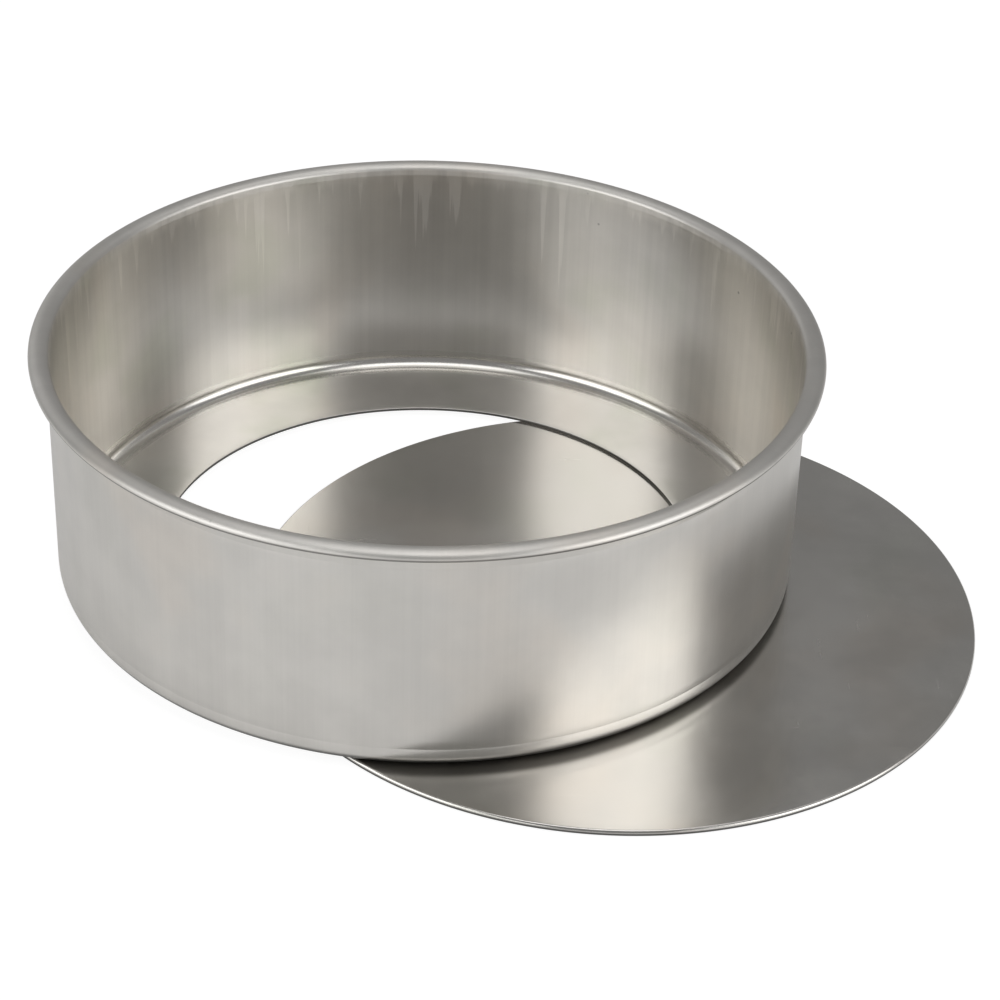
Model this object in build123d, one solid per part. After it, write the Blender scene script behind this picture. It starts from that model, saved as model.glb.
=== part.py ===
from build123d import *
import math
import os

# A round loose-base cake tin: a spun aluminium tin with a rolled rim and an inward ledge,
# and the flat loose base, which lies on the table with the tin standing partly on it.
# Lengths are in millimetres. +Z is up, and the table is at height zero.
# The origin is on the table, in the middle of the box around both pieces.

# Tin body: its sheet, its inside and its wall
sheet = 1.0
inside_diameter = 228.6
inside_depth = 76.2
wall_flare = 0.3
inner_corner_radius = 4.0

# Tin body: the rolled rim, which is an oval roll of the sheet
rim_roll_width = 6.2
rim_roll_height = 3.6
rim_seam_gap = 0.25

# Tin body: the ledge and its hole
ledge_width = 30.5
hole_edge_radius = 0.25

# Tin body: the two fine tooling lines around the outside of the wall
tooling_line_width = 0.9
tooling_line_depth = 0.12
rim_line_drop = 4.5
foot_line_height = 7.0

# Loose base
base_clearance = 2.3
base_thickness = 2.0
base_edge_radius = 0.9

# How the two pieces lie: the base's centre from the tin's axis, and the film of air between them
base_offset = 65.3
base_bearing_degrees = -27.6
standing_gap = 0.05

# Sizes that follow from the ones above
inside_radius = inside_diameter / 2
body_height = inside_depth + sheet
hole_radius = inside_radius - ledge_width
roll_half_width = rim_roll_width / 2
roll_half_height = rim_roll_height / 2
hollow_half_width = roll_half_width - sheet
hollow_half_height = roll_half_height - sheet
foot_radius = inner_corner_radius + sheet
base_radius = inside_radius - base_clearance

# The wall leans outward by this angle. It is given as an angle from straight up.
wall_lean = math.atan(wall_flare / inside_depth)
lean_sine = math.sin(wall_lean)
lean_cosine = math.cos(wall_lean)


def up_the_wall(outward, distance):
    """A point of the section, as radius and height. It is this far up the wall's inside line,
    counted from the corner where that line meets the ledge, and this far outward, square to it."""
    radius = inside_radius + distance * lean_sine + outward * lean_cosine
    height = sheet + distance * lean_cosine - outward * lean_sine
    return (radius, height)


def height_on_outer_wall(height):
    """How far up the wall its outer line reaches this height."""
    return (height - sheet + sheet * lean_sine) / lean_cosine


def on_circle(centre, radius, angle):
    """A point of the section, on a circle. The angle is in degrees from straight outward."""
    turn = math.radians(angle)
    return (centre[0] + radius * math.cos(turn), centre[1] + radius * math.sin(turn))


def arc(centre, radius, start, end):
    """Add an arc to the section, from one angle to another."""
    middle = (start + end) / 2
    points = [on_circle(centre, radius, angle) for angle in (start, middle, end)]
    ThreePointArc(*points)


def roll_point(half_width, half_height, angle):
    """A point on the rim's roll. The angle is in degrees from straight outward."""
    turn = math.radians(angle)
    return up_the_wall(
        roll_half_width + half_width * math.cos(turn),
        roll_distance + half_height * math.sin(turn),
    )


def roll_arc(half_width, half_height, start, turn):
    """Add an oval arc of the rim's roll to the section. It turns this far from its start."""
    EllipticalCenterArc(
        roll_centre, half_width, half_height, start, arc_size=turn, rotation=-math.degrees(wall_lean)
    )


def tooling_line(distance):
    """Add one shallow groove to the wall's outer line, with its middle this far up the wall."""
    half_width = tooling_line_width / 2
    ThreePointArc(
        up_the_wall(sheet, distance - half_width),
        up_the_wall(sheet - tooling_line_depth, distance),
        up_the_wall(sheet, distance + half_width),
    )


# The roll's middle, which puts its top at the tin's full height, and how far out the rim reaches
roll_top = math.hypot(roll_half_height * lean_cosine, roll_half_width * lean_sine)
roll_reach = math.hypot(roll_half_width * lean_cosine, roll_half_height * lean_sine)
roll_distance = (inside_depth + roll_half_width * lean_sine - roll_top) / lean_cosine
roll_centre = up_the_wall(roll_half_width, roll_distance)
rim_radius = roll_centre[0] + roll_reach

# The roll starts on the wall, goes over the top and stops a seam's width short of the wall.
# Its angles are counted from straight outward, square to the wall.
roll_start = 180
roll_turn = 360 - math.degrees(math.acos((roll_half_width - sheet - rim_seam_gap) / roll_half_width))
roll_end = roll_start - roll_turn

# The foot's bend has one centre for its inside and its outside
corner_height = sheet + inner_corner_radius
corner_centre = (
    inside_radius + (inner_corner_radius * lean_sine - inner_corner_radius) / lean_cosine,
    corner_height,
)
corner_side = -math.degrees(wall_lean)
straight_down = -90

# Where the tooling lines lie, measured up the wall
foot_line = height_on_outer_wall(foot_line_height)
rim_line = roll_distance - roll_half_height - rim_line_drop

# The box around both pieces, with the tin's axis at zero, gives the origin's place
bearing = math.radians(base_bearing_degrees)
base_from_tin = (base_offset * math.cos(bearing), base_offset * math.sin(bearing))


def box_middle(base_place):
    """The middle of the box around both pieces, along one direction."""
    low = min(-rim_radius, base_place - base_radius)
    high = max(rim_radius, base_place + base_radius)
    return (low + high) / 2


tin_x = -box_middle(base_from_tin[0])
tin_y = -box_middle(base_from_tin[1])
base_x = tin_x + base_from_tin[0]
base_y = tin_y + base_from_tin[1]


def make_tin_body():
    """The sheet's section, turned once around the tin's axis."""
    with BuildPart() as body:
        with BuildSketch(Plane.XZ):
            with BuildLine():
                # Under the ledge, round the foot and up the outside of the wall
                Line((hole_radius + hole_edge_radius, 0), (corner_centre[0], 0))
                arc(corner_centre, foot_radius, straight_down, corner_side)
                Line(
                    on_circle(corner_centre, foot_radius, corner_side),
                    up_the_wall(sheet, foot_line - tooling_line_width / 2),
                )
                tooling_line(foot_line)
                Line(
                    up_the_wall(sheet, foot_line + tooling_line_width / 2),
                    up_the_wall(sheet, rim_line - tooling_line_width / 2),
                )
                tooling_line(rim_line)
                Line(
                    up_the_wall(sheet, rim_line + tooling_line_width / 2),
                    roll_point(hollow_half_width, hollow_half_height, roll_start),
                )
                # Inside the roll, across the sheet's end and back round the outside of the roll
                roll_arc(hollow_half_width, hollow_half_height, roll_start, -roll_turn)
                Line(
                    roll_point(hollow_half_width, hollow_half_height, roll_end),
                    roll_point(roll_half_width, roll_half_height, roll_end),
                )
                roll_arc(roll_half_width, roll_half_height, roll_end, roll_turn)
                # Down the inside of the wall, round the corner and along the ledge
                Line(
                    roll_point(roll_half_width, roll_half_height, roll_start),
                    on_circle(corner_centre, inner_corner_radius, corner_side),
                )
                arc(corner_centre, inner_corner_radius, corner_side, straight_down)
                Line((corner_centre[0], sheet), (hole_radius + hole_edge_radius, sheet))
                # The hole's cut edge, with both of its corners eased
                arc((hole_radius + hole_edge_radius, sheet - hole_edge_radius), hole_edge_radius, 90, 180)
                Line((hole_radius, sheet - hole_edge_radius), (hole_radius, hole_edge_radius))
                arc((hole_radius + hole_edge_radius, hole_edge_radius), hole_edge_radius, 180, 270)
            make_face()
        revolve(axis=Axis.Z)
    return body.part.moved(Location((tin_x, tin_y, base_thickness + standing_gap)))


def make_loose_base():
    """A flat disc with its edge rounded above and below."""
    with BuildPart() as base:
        Cylinder(base_radius, base_thickness, align=(Align.CENTER, Align.CENTER, Align.MIN))
        fillet(base.edges().filter_by(GeomType.CIRCLE), base_edge_radius)
    return base.part.moved(Location((base_x, base_y, 0)))


parts = {
    "tin_body": make_tin_body(),
    "loose_base": make_loose_base(),
}

os.makedirs("parts", exist_ok=True)
for name, solid in parts.items():
    export_step(solid, f"parts/{name}.step")

print("hole radius", round(hole_radius, 3), "base radius", round(base_radius, 3))
print("rim radius", round(rim_radius, 3), "tin height", round(body_height, 3))
print("tin axis at", round(tin_x, 3), round(tin_y, 3), "base centre at", round(base_x, 3), round(base_y, 3))
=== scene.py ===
import math

import bmesh
import bpy
from mathutils import Matrix, Vector


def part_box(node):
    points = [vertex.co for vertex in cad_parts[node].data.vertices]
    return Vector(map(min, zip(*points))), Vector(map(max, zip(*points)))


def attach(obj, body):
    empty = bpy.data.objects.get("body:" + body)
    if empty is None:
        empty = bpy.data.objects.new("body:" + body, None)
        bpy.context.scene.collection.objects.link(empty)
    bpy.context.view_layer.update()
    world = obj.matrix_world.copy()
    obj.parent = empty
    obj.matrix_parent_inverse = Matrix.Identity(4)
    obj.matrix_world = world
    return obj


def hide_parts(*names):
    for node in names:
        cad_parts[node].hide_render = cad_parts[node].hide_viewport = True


# The looks of a round loose-base cake tin: the tin stands partly on its loose base, on a white table.
# Lengths are in metres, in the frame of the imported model.

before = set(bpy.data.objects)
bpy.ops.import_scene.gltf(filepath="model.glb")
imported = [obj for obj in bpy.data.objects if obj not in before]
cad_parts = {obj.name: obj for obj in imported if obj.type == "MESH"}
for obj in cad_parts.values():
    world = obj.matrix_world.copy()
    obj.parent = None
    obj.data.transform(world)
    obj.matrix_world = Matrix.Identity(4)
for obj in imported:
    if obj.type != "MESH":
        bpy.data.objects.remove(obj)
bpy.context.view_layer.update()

# Tin body: the section's sizes, which are the CAD part's
sheet = 0.001
inside_radius = 0.1143
inside_depth = 0.0762
wall_flare = 0.0003
inner_corner_radius = 0.004
roll_half_width = 0.0031
roll_half_height = 0.0018
rim_seam_gap = 0.00025
hole_radius = 0.0838
hole_edge_radius = 0.00025
tooling_line_width = 0.0009
rim_line_drop = 0.0045
foot_line_height = 0.007

# The tooling lines are drawn half as deep as the CAD part's, because the photograph shows them faint
tooling_line_depth = 0.00006

# Loose base: its edge. Its radius and thickness come from the imported model's loose base.
base_edge_radius = 0.0009

# How finely the turned meshes are divided
steps_around = 384
steps_in_a_bend = 14
steps_in_the_roll = 44
steps_in_a_tooling_line = 6
steps_in_the_hole_edge = 3
steps_up_the_wall = 24
steps_across_the_ledge = 10
steps_across_the_base = 30

# Camera, as it was worked out from the photograph
lens = 109.010
sensor_width = 36.0
camera_place = Vector((-0.024538, -0.791318, 0.533804))
camera_pitch = 0.56959
camera_yaw = 0.02893
camera_roll = -0.03087

# Table: how it takes light, and how bright the camera sees it near the tin and far away
floor_reach = 3.0
floor_gap = 0.00005
floor_whiteness = 0.82
floor_shadow_share = 0.25
near_floor_strength = 0.9
far_floor_strength = 1.0
near_floor_reach = 0.35
far_floor_reach = 0.9
floor_mirror_share = 0.22

# World: a dim studio for the metal, which sees only this share of the white that the camera sees
studio_grey = 0.2
studio_mirror_share = 0.05

# Lamps: name, degrees to the right of the viewer's side, degrees up, width, height, and power in watts
lamp_distance = 1.5
lamps = [
    ("lamp_right", 62, 26, 1.2, 1.3, 8.3),
    ("lamp_left", -63, 27, 1.15, 1.3, 7.4),
    ("lamp_left_front", -30, 10, 0.75, 0.5, 1.4),
    ("lamp_right_front", 30, 10, 0.6, 0.5, 0.85),
    ("lamp_left_rear", -140, 26, 0.9, 0.9, 0.7),
    ("lamp_high_rear", 180, 66, 1.3, 0.45, 1.5),
    ("lamp_above", 0, 86, 0.75, 0.75, 2.5),
]

# Aluminium: its clean colour, the colours of its faint stains, and how strong and how large they are
aluminium = (0.75, 0.73, 0.695)
warm_stain = (0.745, 0.70, 0.645)
olive_stain = (0.665, 0.67, 0.60)
warm_share = 0.75
olive_share_outside = 0.1
olive_share_inside = 0.7
olive_share_of_base = 0.3
tin_stain_size = 0.045
base_stain_size = 0.06
olive_fineness = 1.4

# Noise runs from 0 to 1, mostly near its middle. A stain starts and is full at these levels of it,
# and marks that go both ways, such as streaks, use the levels around the middle.
stain_start = 0.5
stain_full = 0.72
low_noise = 0.3
high_noise = 0.7

# Upright streaks: how many there are around the tin, how often they change in a metre of height,
# how much they change the brightness, and how much they change the roughness
fine_streaks_around = 900
fine_streaks_upward = 9
fine_streak_depth = 0.008
fine_streak_dullness = 0.003
wide_streaks_around = 210
wide_streaks_upward = 5
wide_streak_depth_outside = 0.008
wide_streak_depth_inside = 0.028
wide_streak_dullness = 0.006

# Pale runs down the inside from the rim: how many there are, the levels of noise at which each starts to
# show and shows in full, and the share of it that shows elsewhere. Their groups and lengths follow other
# noise in the same way. A run fades out over its tip.
runs_around = 200
runs_upward = 6
run_start = 0.38
run_full = 0.58
run_left_share = 0.25
run_groups_around = 24
group_start = 0.42
group_full = 0.62
group_left_share = 0.1
short_run_noise = 0.5
long_run_noise = 0.72
longest_run = 0.038
shortest_run = 0.006
run_tip = 0.004
run_depth = 0.13
run_dullness = 0.05

# Clouds, dirt and nicks on the tin: how many lie along a metre, how large the specks are as a share
# of the space that each has, what share of them is kept, and how dark they are
clouds_per_metre = 45
darkest_cloud = 0.95
brightest_cloud = 1.03
dirt_per_metre = 160
dirt_size_share = 0.12
dirt_kept_share = 0.06
dirt_depth = 0.45
nicks_per_metre = 420
nick_size_share = 0.3
nick_kept_share = 0.05
nick_depth = 0.25

# Darker places: the cut edge, and painted shade round the foot and under the rim's roll. How bright each is
# as a share of the clean metal, and where the painted shade starts and is full, as a height above the tin's
# foot or above the middle of the rim's roll
cut_edge_shade = 0.2
painted_foot_shade = 0.27
painted_foot_shade_start = 0.0042
painted_foot_shade_full = 0.002
painted_roll_shade = 0.42
painted_roll_shade_start = 0.0002
painted_roll_shade_full = -0.0004

# Roughness of the tin, what its places add to it, how softly the bend's part of it fades out up the
# wall, as a share of the bend's radius, and its grain
tin_roughness = 0.29
roll_dullness = 0.15
inner_bend_dullness = -0.09
outer_bend_dullness = 0.05
cut_edge_dullness = 0.2
bend_fade_share = 0.4
tin_anisotropy = 0.4
grain_turn_share = 0.25

# Relief of both pieces: how strong it is, and what each mark adds to it
relief_distance = 0.0001
tin_relief_strength = 0.06
tin_grain_per_metre = 1400
tin_grain_relief = 0.15
fine_streak_relief = 0.04
nick_relief = 1.5
base_relief_strength = 0.03
base_grain_per_metre = 2200
base_grain_relief = 0.3
scratch_relief = 0.3

# Loose base: smudges, hair scratches one way and across, specks of dirt, and painted shade on the lower half
# of its edge, which starts and is full at these shares of the base's thickness
smudges_per_metre = 22
darkest_smudge = 0.86
brightest_smudge = 0.96
hair_scratches_per_metre = (30, 900, 1)
cross_scratches_per_metre = (700, 60, 1)
scratch_start = 0.7
hair_scratch_full = 0.76
cross_scratch_full = 0.77
scratch_depth = 0.05
scratch_dullness = 0.06
base_dirt_per_metre = 150
base_dirt_size_share = 0.1
base_dirt_kept_share = 0.05
base_dirt_depth = 0.35
painted_base_edge_shade = 0.2
painted_edge_shade_start_share = 0.75
painted_edge_shade_full_share = 0.42
base_roughness = 0.19
smudge_start = 0.35
glossiest_smudge = -0.02
dullest_smudge = 0.07

# Sizes that follow from the ones above
hollow_half_width = roll_half_width - sheet
hollow_half_height = roll_half_height - sheet
foot_radius = inner_corner_radius + sheet
corner_height = sheet + inner_corner_radius
bend_fade_top = corner_height + bend_fade_share * inner_corner_radius
roll_middle = inside_depth + sheet - roll_half_height
wall_lean = math.atan(wall_flare / inside_depth)
lean_sine = math.sin(wall_lean)
lean_cosine = math.cos(wall_lean)

# Angles in the section, in degrees from straight outward
straight_outward = 0
straight_down = -90
straight_up = 90
straight_inward = 180
straight_down_again = 270


def up_the_wall(outward, distance):
    """A point of the section, as radius and height above the foot: this far up the inside line of the wall
    from where it meets the ledge, and this far outward, square to it."""
    radius = inside_radius + distance * lean_sine + outward * lean_cosine
    height = sheet + distance * lean_cosine - outward * lean_sine
    return (radius, height)


def height_on_outer_wall(height):
    """How far up the wall its outer line reaches this height."""
    return (height - sheet + sheet * lean_sine) / lean_cosine


def arc_points(centre, radius, start, end, steps):
    """Points of the section along an arc. The angles are in degrees from straight outward."""
    points = []
    for step in range(steps + 1):
        turn = math.radians(start + (end - start) * step / steps)
        points.append((centre[0] + radius * math.cos(turn), centre[1] + radius * math.sin(turn)))
    return points


def line_points(start, end, steps):
    """Points of the section along a straight run, without its last one."""
    return [
        (start[0] + (end[0] - start[0]) * step / steps, start[1] + (end[1] - start[1]) * step / steps)
        for step in range(steps)
    ]


def roll_points(half_width, half_height, centre_distance, start, end):
    """Points of the rim's oval roll. The angles are in degrees from straight outward, square to the wall."""
    points = []
    for step in range(steps_in_the_roll + 1):
        turn = math.radians(start + (end - start) * step / steps_in_the_roll)
        outward = roll_half_width + half_width * math.cos(turn)
        points.append(up_the_wall(outward, centre_distance + half_height * math.sin(turn)))
    return points


def groove_points(middle):
    """One shallow tooling line in the outer line of the wall, with its middle this far up the wall."""
    points = []
    for step in range(steps_in_a_tooling_line + 1):
        share = 2 * step / steps_in_a_tooling_line - 1
        depth = tooling_line_depth * (1 - share * share)
        points.append(up_the_wall(sheet - depth, middle + share * tooling_line_width / 2))
    return points


def tin_section():
    """The closed outline of the tin's sheet, from under the ledge round the foot, up the outside,
    over the rim's roll and back down the inside to the hole's edge."""
    roll_top = math.hypot(roll_half_height * lean_cosine, roll_half_width * lean_sine)
    roll_distance = (inside_depth + roll_half_width * lean_sine - roll_top) / lean_cosine
    seam_share = (roll_half_width - sheet - rim_seam_gap) / roll_half_width
    roll_start = straight_inward
    roll_end = roll_start - 360 + math.degrees(math.acos(seam_share))
    corner_centre = (
        inside_radius + (inner_corner_radius * lean_sine - inner_corner_radius) / lean_cosine,
        corner_height,
    )
    wall_side = -math.degrees(wall_lean)
    foot_line = height_on_outer_wall(foot_line_height)
    rim_line = roll_distance - roll_half_height - rim_line_drop
    hole_corner = hole_radius + hole_edge_radius
    upper_edge = (hole_corner, sheet - hole_edge_radius)
    lower_edge = (hole_corner, hole_edge_radius)

    foot = arc_points(corner_centre, foot_radius, straight_down, wall_side, steps_in_a_bend)
    foot_groove = groove_points(foot_line)
    rim_groove = groove_points(rim_line)
    inside_of_roll = roll_points(hollow_half_width, hollow_half_height, roll_distance, roll_start, roll_end)
    roll = roll_points(roll_half_width, roll_half_height, roll_distance, roll_end, roll_start)
    corner = arc_points(corner_centre, inner_corner_radius, wall_side, straight_down, steps_in_a_bend)
    top_of_edge = arc_points(
        upper_edge, hole_edge_radius, straight_up, straight_inward, steps_in_the_hole_edge
    )
    foot_of_edge = arc_points(
        lower_edge, hole_edge_radius, straight_inward, straight_down_again, steps_in_the_hole_edge
    )

    section = line_points((hole_corner, 0), foot[0], steps_across_the_ledge)
    section += foot
    section += foot_groove
    section += line_points(foot_groove[-1], rim_groove[0], steps_up_the_wall)[1:]
    section += rim_groove
    section += inside_of_roll
    section += roll
    section += line_points(roll[-1], corner[0], steps_up_the_wall)[1:]
    section += corner
    section += line_points(corner[-1], top_of_edge[0], steps_across_the_ledge)[1:]
    section += top_of_edge
    section += foot_of_edge[:-1]
    return section


def base_section(radius, thickness):
    """The outline of the loose base from the middle of its top, round its edge to the middle of
    its underside."""
    flat = radius - base_edge_radius
    upper_edge = (flat, thickness - base_edge_radius)
    lower_edge = (flat, base_edge_radius)
    upper = arc_points(upper_edge, base_edge_radius, straight_up, straight_outward, steps_in_a_bend)
    lower = arc_points(lower_edge, base_edge_radius, straight_outward, straight_down, steps_in_a_bend)
    top = line_points((0, thickness), upper[0], steps_across_the_base)
    bottom = line_points(lower[-1], (0, 0), steps_across_the_base)
    return top + upper + lower + bottom[1:] + [(0, 0)]


def ring_of_points(builder, centre, radius, height):
    """One point of a section, turned once around the centre. On the centre line it is a single vertex."""
    if radius == 0:
        return [builder.verts.new((centre.x, centre.y, centre.z + height))]
    ring = []
    for step in range(steps_around):
        turn = math.tau * step / steps_around
        place = (
            centre.x + radius * math.cos(turn),
            centre.y + radius * math.sin(turn),
            centre.z + height,
        )
        ring.append(builder.verts.new(place))
    return ring


def turned_piece(name, section, centre, closed):
    """A mesh made by turning a section once around an upright line through the centre."""
    mesh = bpy.data.meshes.new(name)
    builder = bmesh.new()
    rings = [ring_of_points(builder, centre, radius, height) for radius, height in section]
    pairs = list(zip(rings, rings[1:]))
    if closed:
        pairs.append((rings[-1], rings[0]))
    for first, second in pairs:
        for step in range(steps_around):
            following = (step + 1) % steps_around
            corners = [
                first[step % len(first)],
                first[following % len(first)],
                second[following % len(second)],
                second[step % len(second)],
            ]
            builder.faces.new(list(dict.fromkeys(corners)))
    bmesh.ops.recalc_face_normals(builder, faces=builder.faces)
    for face in builder.faces:
        face.smooth = True
    builder.to_mesh(mesh)
    builder.free()
    piece = bpy.data.objects.new(name, mesh)
    bpy.context.scene.collection.objects.link(piece)
    return piece


def put(tree, socket, value):
    """Link a socket, or set its value."""
    if isinstance(value, bpy.types.NodeSocket):
        tree.links.new(value, socket)
    else:
        socket.default_value = value


def calculate(tree, operation, *values):
    """One step of arithmetic."""
    node = tree.nodes.new("ShaderNodeMath")
    node.operation = operation
    for socket, value in zip(node.inputs, values):
        put(tree, socket, value)
    return node.outputs[0]


def times(tree, *values):
    """All the values multiplied, from the first to the last."""
    product = values[0]
    for value in values[1:]:
        product = calculate(tree, "MULTIPLY", product, value)
    return product


def plus(tree, *values):
    """All the values added, from the first to the last."""
    total = values[0]
    for value in values[1:]:
        total = calculate(tree, "ADD", total, value)
    return total


def minus(tree, value, taken):
    """One value less another."""
    return calculate(tree, "SUBTRACT", value, taken)


def calculate_vector(tree, operation, first, second=None):
    """One step of arithmetic with vectors."""
    node = tree.nodes.new("ShaderNodeVectorMath")
    node.operation = operation
    put(tree, node.inputs[0], first)
    if second is not None:
        put(tree, node.inputs["Scale" if operation == "SCALE" else 1], second)
    return node.outputs["Value" if operation == "LENGTH" else "Vector"]


def ramp(tree, value, start, end, low=0.0, high=1.0):
    """A smooth change from low to high, while the value goes from start to end."""
    node = tree.nodes.new("ShaderNodeMapRange")
    node.interpolation_type = "SMOOTHSTEP"
    for socket, setting in zip(node.inputs, (value, start, end, low, high)):
        put(tree, socket, setting)
    return node.outputs[0]


def blend(tree, mask, outside, inside):
    """One number outside a mask and another one in it."""
    return ramp(tree, mask, 0.0, 1.0, outside, inside)


def mix_colours(tree, share, first, second):
    """A blend of two colours."""
    node = tree.nodes.new("ShaderNodeMix")
    node.data_type = "RGBA"
    share_input, first_input, second_input = (node.inputs[index] for index in (0, 6, 7))
    put(tree, share_input, share)
    for socket, colour in ((first_input, first), (second_input, second)):
        put(tree, socket, colour if isinstance(colour, bpy.types.NodeSocket) else (*colour, 1))
    return node.outputs[2]


def noise(tree, place, scale, detail=2.0, roughness=0.5):
    """Cloudy noise from 0 to 1."""
    node = tree.nodes.new("ShaderNodeTexNoise")
    put(tree, node.inputs["Vector"], place)
    node.inputs["Scale"].default_value = scale
    node.inputs["Detail"].default_value = detail
    node.inputs["Roughness"].default_value = roughness
    return node.outputs[0]


def specks(tree, place, scale, size_share, kept_share):
    """Small round specks, in the kept share of the cells of a grid of this scale."""
    node = tree.nodes.new("ShaderNodeTexVoronoi")
    put(tree, node.inputs["Vector"], place)
    node.inputs["Scale"].default_value = scale
    picked = calculate(tree, "LESS_THAN", node.outputs["Color"], kept_share)
    spot = ramp(tree, node.outputs["Distance"], size_share, size_share / 2)
    return times(tree, picked, spot)


def turned_place(tree, centre):
    """Where a point is on a turned piece: its place from the centre, its radius, its height and its
    direction around the centre."""
    coordinates = tree.nodes.new("ShaderNodeTexCoord")
    place = calculate_vector(tree, "SUBTRACT", coordinates.outputs["Object"], tuple(centre))
    flat = calculate_vector(tree, "MULTIPLY", place, (1, 1, 0))
    parts = tree.nodes.new("ShaderNodeSeparateXYZ")
    put(tree, parts.inputs[0], place)
    radius = calculate_vector(tree, "LENGTH", flat)
    around = calculate_vector(tree, "NORMALIZE", flat)
    return place, radius, parts.outputs["Z"], around


def streaks(tree, around, height, per_turn, per_metre, detail=3.0):
    """Noise that is drawn out up and down the wall."""
    upward = tree.nodes.new("ShaderNodeCombineXYZ")
    put(tree, upward.inputs["Z"], times(tree, height, per_metre))
    wide = calculate_vector(tree, "SCALE", around, per_turn / math.tau)
    place = calculate_vector(tree, "ADD", wide, upward.outputs[0])
    return noise(tree, place, 1.0, detail)


def aluminium_shader(name, anisotropy):
    """A new material with a metal shader, whose grain runs around the piece."""
    material = bpy.data.materials.new(name)
    material.use_nodes = True
    tree = material.node_tree
    shader = tree.nodes["Principled BSDF"]
    shader.inputs["Metallic"].default_value = 1
    shader.inputs["Anisotropic"].default_value = anisotropy
    shader.inputs["Anisotropic Rotation"].default_value = grain_turn_share
    tangent = tree.nodes.new("ShaderNodeTangent")
    tangent.direction_type = "RADIAL"
    tangent.axis = "Z"
    put(tree, shader.inputs["Tangent"], tangent.outputs[0])
    return material, tree, shader


def stained_colour(tree, place, size, olive_share):
    """Clean aluminium with faint warm and olive stains of this size."""
    warm_cloud = noise(tree, place, 1 / size)
    beside = calculate_vector(tree, "ADD", place, (size, 0, size))
    olive_cloud = noise(tree, beside, olive_fineness / size)
    warm = ramp(tree, warm_cloud, stain_start, stain_full, 0.0, warm_share)
    olive = times(tree, ramp(tree, olive_cloud, stain_start, stain_full), olive_share)
    tinted = mix_colours(tree, warm, aluminium, warm_stain)
    return mix_colours(tree, olive, tinted, olive_stain)


def bumped(tree, shader, relief, strength):
    """Give the shader a fine relief."""
    bump = tree.nodes.new("ShaderNodeBump")
    bump.inputs["Strength"].default_value = strength
    bump.inputs["Distance"].default_value = relief_distance
    put(tree, bump.inputs["Height"], relief)
    put(tree, shader.inputs["Normal"], bump.outputs[0])


def wall_zones(tree, radius, height):
    """Masks of the tin: the inside of its wall, its flat ledge and the cut edge of the hole."""
    wall_middle = inside_radius + sheet / 2
    inside = ramp(tree, radius, wall_middle, wall_middle - sheet / 4)
    ledge = ramp(tree, height, corner_height, sheet + sheet / 2)
    cut_edge = ramp(tree, radius, hole_radius + hole_edge_radius / 2, hole_radius)
    return inside, ledge, cut_edge


def bend_zones(tree, radius, height):
    """Masks of the bend at the tin's foot: its inside, its outside and the painted shade low on its outside.
    """
    reach = minus(tree, radius, inside_radius - inner_corner_radius)
    rise = minus(tree, height, corner_height)
    squares = plus(tree, calculate(tree, "POWER", reach, 2.0), calculate(tree, "POWER", rise, 2.0))
    from_centre = calculate(tree, "SQRT", squares)
    sheet_middle = inner_corner_radius + sheet / 2
    low_down = ramp(tree, height, bend_fade_top, corner_height)
    inner_bend = times(tree, low_down, ramp(tree, from_centre, sheet_middle, inner_corner_radius))
    outer_side = times(tree, low_down, ramp(tree, from_centre, sheet_middle, foot_radius))
    outer_bend = times(tree, outer_side, ramp(tree, reach, 0.0, sheet))
    # Painted shade: the lower outside of the foot's bend is darkened
    painted_shade = times(tree, outer_bend, ramp(tree, height, painted_foot_shade_start, painted_foot_shade_full))
    return inner_bend, outer_bend, painted_shade


def roll_zones(tree, radius, height):
    """Masks of the rim: its roll, and the painted shade under the roll's outer side."""
    roll_foot = roll_middle - roll_half_height
    on_roll = ramp(tree, height, roll_foot, roll_foot + sheet / 2)
    # Painted shade under the outer side of the roll, down to where it meets the wall
    low_down = ramp(tree, height, roll_middle + painted_roll_shade_start, roll_middle + painted_roll_shade_full)
    ridge = inside_radius + roll_half_width
    painted_shade = times(tree, low_down, ramp(tree, radius, ridge, ridge + sheet))
    return on_roll, painted_shade


def pale_runs_down(tree, around, height, inside):
    """Pale runs of uneven length, in loose groups, down the inside of the wall from the rim."""
    runs = streaks(tree, around, height, runs_around, runs_upward, detail=2.0)
    length = ramp(tree, streaks(tree, around, 0.0, runs_around, 0), short_run_noise, long_run_noise)
    group_noise = streaks(tree, around, 0.0, run_groups_around, 0, detail=1.0)
    group = ramp(tree, group_noise, group_start, group_full, group_left_share, 1.0)
    drop = times(tree, length, group, longest_run)
    foot = minus(tree, inside_depth - shortest_run, drop)
    reached = ramp(tree, minus(tree, height, foot), 0.0, run_tip)
    return times(tree, ramp(tree, runs, run_start, run_full, run_left_share, 1.0), reached, inside)


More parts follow.
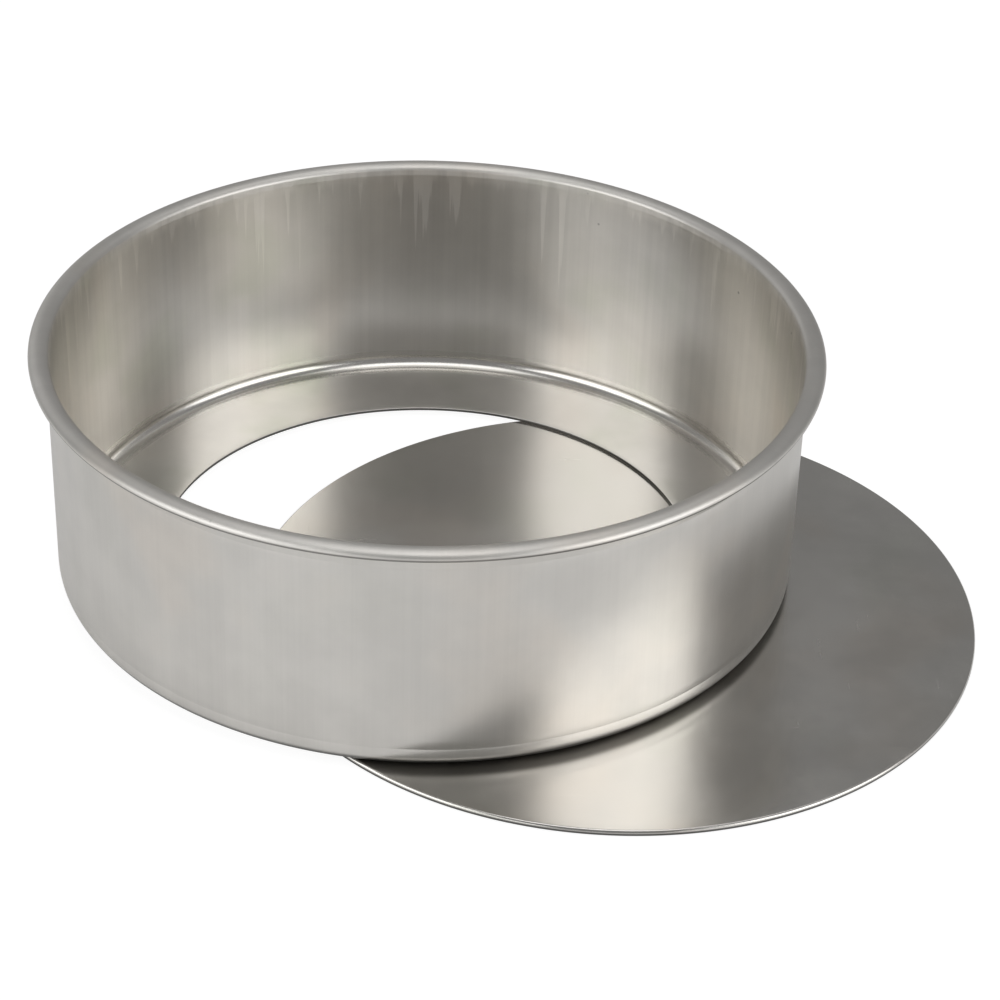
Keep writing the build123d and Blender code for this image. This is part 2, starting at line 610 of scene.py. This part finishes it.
def tin_finish(centre):
    """Satin spun aluminium: upright streaks, pale runs down the inside from the rim, faint stains, a few
    specks and nicks, painted shade under the rim's roll and round the foot, and a dull cut edge around the
    hole."""
    material, tree, shader = aluminium_shader("tin_finish", tin_anisotropy)
    place, radius, height, around = turned_place(tree, centre)
    inside, ledge, cut_edge = wall_zones(tree, radius, height)
    inner_bend, outer_bend, painted_foot_shade_mask = bend_zones(tree, radius, height)
    on_roll, painted_roll_shade_mask = roll_zones(tree, radius, height)

    # Marks
    upright = minus(tree, 1.0, ledge)
    fine = streaks(tree, around, height, fine_streaks_around, fine_streaks_upward)
    fine_marks = times(tree, ramp(tree, fine, low_noise, high_noise, -1.0, 1.0), upright)
    wide = streaks(tree, around, height, wide_streaks_around, wide_streaks_upward)
    wide_marks = times(tree, ramp(tree, wide, low_noise, high_noise, -1.0, 1.0), upright)
    pale_runs = pale_runs_down(tree, around, height, inside)
    dirt = specks(tree, place, dirt_per_metre, dirt_size_share, dirt_kept_share)
    nicks = times(tree, specks(tree, place, nicks_per_metre, nick_size_share, nick_kept_share), on_roll)

    # Brightness
    cloud = noise(tree, place, clouds_per_metre, detail=4.0)
    brightness = plus(
        tree,
        ramp(tree, cloud, low_noise, high_noise, darkest_cloud, brightest_cloud),
        times(tree, fine_marks, fine_streak_depth),
        times(tree, wide_marks, blend(tree, inside, wide_streak_depth_outside, wide_streak_depth_inside)),
        times(tree, pale_runs, run_depth),
    )
    specked = calculate(tree, "MAXIMUM", times(tree, dirt, dirt_depth), times(tree, nicks, nick_depth))
    brightness = times(
        tree,
        brightness,
        minus(tree, 1.0, specked),
        blend(tree, cut_edge, 1.0, cut_edge_shade),
        # Painted shade round the outside of the foot's bend
        blend(tree, painted_foot_shade_mask, 1.0, painted_foot_shade),
        # Painted shade under the outer side of the rim's roll
        blend(tree, painted_roll_shade_mask, 1.0, painted_roll_shade),
    )
    olive_share = blend(tree, inside, olive_share_outside, olive_share_inside)
    colour = stained_colour(tree, place, tin_stain_size, olive_share)
    put(tree, shader.inputs["Base Color"], calculate_vector(tree, "SCALE", colour, brightness))

    # Gloss
    roughness = plus(
        tree,
        times(tree, wide_marks, wide_streak_dullness),
        times(tree, fine_marks, fine_streak_dullness),
        times(tree, on_roll, roll_dullness),
        times(tree, inner_bend, inner_bend_dullness),
        times(tree, outer_bend, outer_bend_dullness),
        times(tree, pale_runs, run_dullness),
        times(tree, cut_edge, cut_edge_dullness),
        tin_roughness,
    )
    put(tree, shader.inputs["Roughness"], roughness)

    # Relief
    grain = noise(tree, place, tin_grain_per_metre)
    raised = plus(tree, times(tree, fine_marks, fine_streak_relief), times(tree, grain, tin_grain_relief))
    bumped(tree, shader, minus(tree, raised, times(tree, nicks, nick_relief)), tin_relief_strength)
    return material


def base_finish(centre, disc_radius, thickness):
    """Smooth rolled aluminium sheet with light smudges and hair scratches, and painted shade on its lower
    edge.
    """
    material, tree, shader = aluminium_shader("base_finish", 0.0)
    place, radius, height = turned_place(tree, centre)[:3]

    # Marks
    smudges = noise(tree, place, smudges_per_metre, detail=5.0, roughness=0.6)
    hair = noise(tree, calculate_vector(tree, "MULTIPLY", place, hair_scratches_per_metre), 1.0)
    cross = noise(tree, calculate_vector(tree, "MULTIPLY", place, cross_scratches_per_metre), 1.0)
    hair_scratches = ramp(tree, hair, scratch_start, hair_scratch_full)
    cross_scratches = ramp(tree, cross, scratch_start, cross_scratch_full)
    scratches = calculate(tree, "MAXIMUM", hair_scratches, cross_scratches)
    dirt = specks(tree, place, base_dirt_per_metre, base_dirt_size_share, base_dirt_kept_share)
    # Painted shade on the lower half of the base's edge
    at_edge = ramp(tree, radius, disc_radius - base_edge_radius, disc_radius - base_edge_radius / 2)
    shade_start = painted_edge_shade_start_share * thickness
    shade_full = painted_edge_shade_full_share * thickness
    lower_edge = times(tree, at_edge, ramp(tree, height, shade_start, shade_full))

    # Brightness
    smudged = ramp(tree, smudges, low_noise, high_noise, darkest_smudge, brightest_smudge)
    scratched = plus(tree, smudged, times(tree, scratches, scratch_depth))
    dirtied = minus(tree, scratched, times(tree, dirt, base_dirt_depth))
    # Darkened by the painted shade on the lower half of the edge
    brightness = times(tree, dirtied, blend(tree, lower_edge, 1.0, painted_base_edge_shade))
    colour = stained_colour(tree, place, base_stain_size, olive_share_of_base)
    put(tree, shader.inputs["Base Color"], calculate_vector(tree, "SCALE", colour, brightness))

    # Gloss
    smudge_gloss = ramp(tree, smudges, smudge_start, high_noise, glossiest_smudge, dullest_smudge)
    roughness = plus(tree, smudge_gloss, times(tree, scratches, scratch_dullness), base_roughness)
    put(tree, shader.inputs["Roughness"], roughness)

    # Relief
    grain = times(tree, noise(tree, place, base_grain_per_metre), base_grain_relief)
    bumped(tree, shader, plus(tree, times(tree, scratches, scratch_relief), grain), base_relief_strength)
    return material


tin_low, tin_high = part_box("tin_body")
base_low, base_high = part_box("loose_base")
tin_foot = Vector(((tin_low.x + tin_high.x) / 2, (tin_low.y + tin_high.y) / 2, tin_low.z))
base_foot = Vector(((base_low.x + base_high.x) / 2, (base_low.y + base_high.y) / 2, base_low.z))
base_radius = (base_high.x - base_low.x) / 2
base_thickness = base_high.z - base_low.z

tin = turned_piece("tin_shell", tin_section(), tin_foot, closed=True)
tin.data.materials.append(tin_finish(tin_foot))
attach(tin, "tin")
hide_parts("tin_body")

disc = turned_piece("base_disc", base_section(base_radius, base_thickness), base_foot, closed=False)
disc.data.materials.append(base_finish(base_foot, base_radius, base_thickness))
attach(disc, "base")
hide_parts("loose_base")


def place_camera():
    """The camera, turned by its yaw and pitch, and then rolled about its own line of sight."""
    forward = Vector((
        math.sin(camera_yaw) * math.cos(camera_pitch),
        math.cos(camera_yaw) * math.cos(camera_pitch),
        -math.sin(camera_pitch),
    ))
    level_right = Vector((math.cos(camera_yaw), -math.sin(camera_yaw), 0))
    level_down = forward.cross(level_right)
    right = math.cos(camera_roll) * level_right + math.sin(camera_roll) * level_down
    down = -math.sin(camera_roll) * level_right + math.cos(camera_roll) * level_down
    turn = Matrix((right, -down, -forward)).transposed()
    data = bpy.data.cameras.new("camera")
    data.lens = lens
    data.sensor_width = sensor_width
    camera = bpy.data.objects.new("camera", data)
    camera.matrix_world = Matrix.Translation(camera_place) @ turn.to_4x4()
    bpy.context.scene.collection.objects.link(camera)
    bpy.context.scene.camera = camera


def background_share(tree, mirror_share):
    """How much of the pale background a ray sees: all for the camera and through glass, and this share
    in metal."""
    path = tree.nodes.new("ShaderNodeLightPath")
    in_metal = times(tree, path.outputs["Is Glossy Ray"], mirror_share)
    direct = calculate(tree, "MAXIMUM", path.outputs["Is Camera Ray"], path.outputs["Is Transmission Ray"])
    return calculate(tree, "MAXIMUM", direct, in_metal)


def floor_material():
    """White board. The camera sees it nearly as bright as paper, with a faint shadow near the tin."""
    material = bpy.data.materials.new("white_table")
    material.use_nodes = True
    tree = material.node_tree
    tree.nodes.clear()
    lit = tree.nodes.new("ShaderNodeBsdfDiffuse")
    lit.inputs["Color"].default_value = (*[floor_whiteness] * 3, 1)
    shaded = tree.nodes.new("ShaderNodeBsdfDiffuse")
    shaded.inputs["Color"].default_value = (*[floor_shadow_share] * 3, 1)
    paper = tree.nodes.new("ShaderNodeEmission")
    coordinates = tree.nodes.new("ShaderNodeTexCoord")
    place = calculate_vector(tree, "SUBTRACT", coordinates.outputs["Object"], tuple(tin_foot))
    away = calculate_vector(tree, "LENGTH", place)
    strength = ramp(tree, away, near_floor_reach, far_floor_reach, near_floor_strength, far_floor_strength)
    put(tree, paper.inputs["Strength"], strength)
    seen = tree.nodes.new("ShaderNodeAddShader")
    mix = tree.nodes.new("ShaderNodeMixShader")
    output = tree.nodes.new("ShaderNodeOutputMaterial")
    tree.links.new(shaded.outputs[0], seen.inputs[0])
    tree.links.new(paper.outputs[0], seen.inputs[1])
    tree.links.new(background_share(tree, floor_mirror_share), mix.inputs[0])
    tree.links.new(lit.outputs[0], mix.inputs[1])
    tree.links.new(seen.outputs[0], mix.inputs[2])
    tree.links.new(mix.outputs[0], output.inputs["Surface"])
    return material


def floor():
    """A wide white table."""
    mesh = bpy.data.meshes.new("floor")
    corners = [(-1, -1), (1, -1), (1, 1), (-1, 1)]
    mesh.from_pydata([(x * floor_reach, y * floor_reach, -floor_gap) for x, y in corners], [], [(0, 1, 2, 3)])
    mesh.materials.append(floor_material())
    piece = bpy.data.objects.new("floor", mesh)
    bpy.context.scene.collection.objects.link(piece)


def softbox(name, azimuth, elevation, width, height, power):
    """A flat lamp that faces the tin. Azimuth is in degrees to the right of the viewer's side."""
    turn = math.radians(azimuth)
    rise = math.radians(elevation)
    away = Vector((math.sin(turn) * math.cos(rise), -math.cos(turn) * math.cos(rise), math.sin(rise)))
    data = bpy.data.lights.new(name, "AREA")
    data.shape = "RECTANGLE"
    data.size = width
    data.size_y = height
    data.energy = power
    lamp = bpy.data.objects.new(name, data)
    lamp.location = tin_foot + away * lamp_distance
    lamp.rotation_euler = away.to_track_quat("Z", "Y").to_euler()
    lamp.visible_camera = False
    bpy.context.scene.collection.objects.link(lamp)


def studio():
    """The world: a plain dim studio to the metal, and white to the camera."""
    world = bpy.data.worlds.new("studio")
    world.use_nodes = True
    tree = world.node_tree
    dim = tree.nodes["Background"]
    dim.inputs["Color"].default_value = (*[studio_grey] * 3, 1)
    white = tree.nodes.new("ShaderNodeBackground")
    white.inputs["Color"].default_value = (1, 1, 1, 1)
    mix = tree.nodes.new("ShaderNodeMixShader")
    tree.links.new(background_share(tree, studio_mirror_share), mix.inputs[0])
    tree.links.new(dim.outputs[0], mix.inputs[1])
    tree.links.new(white.outputs[0], mix.inputs[2])
    tree.links.new(mix.outputs[0], tree.nodes["World Output"].inputs["Surface"])
    bpy.context.scene.world = world


place_camera()
floor()
for lamp in lamps:
    softbox(*lamp)
studio()
bpy.context.scene.view_settings.view_transform = "Standard"
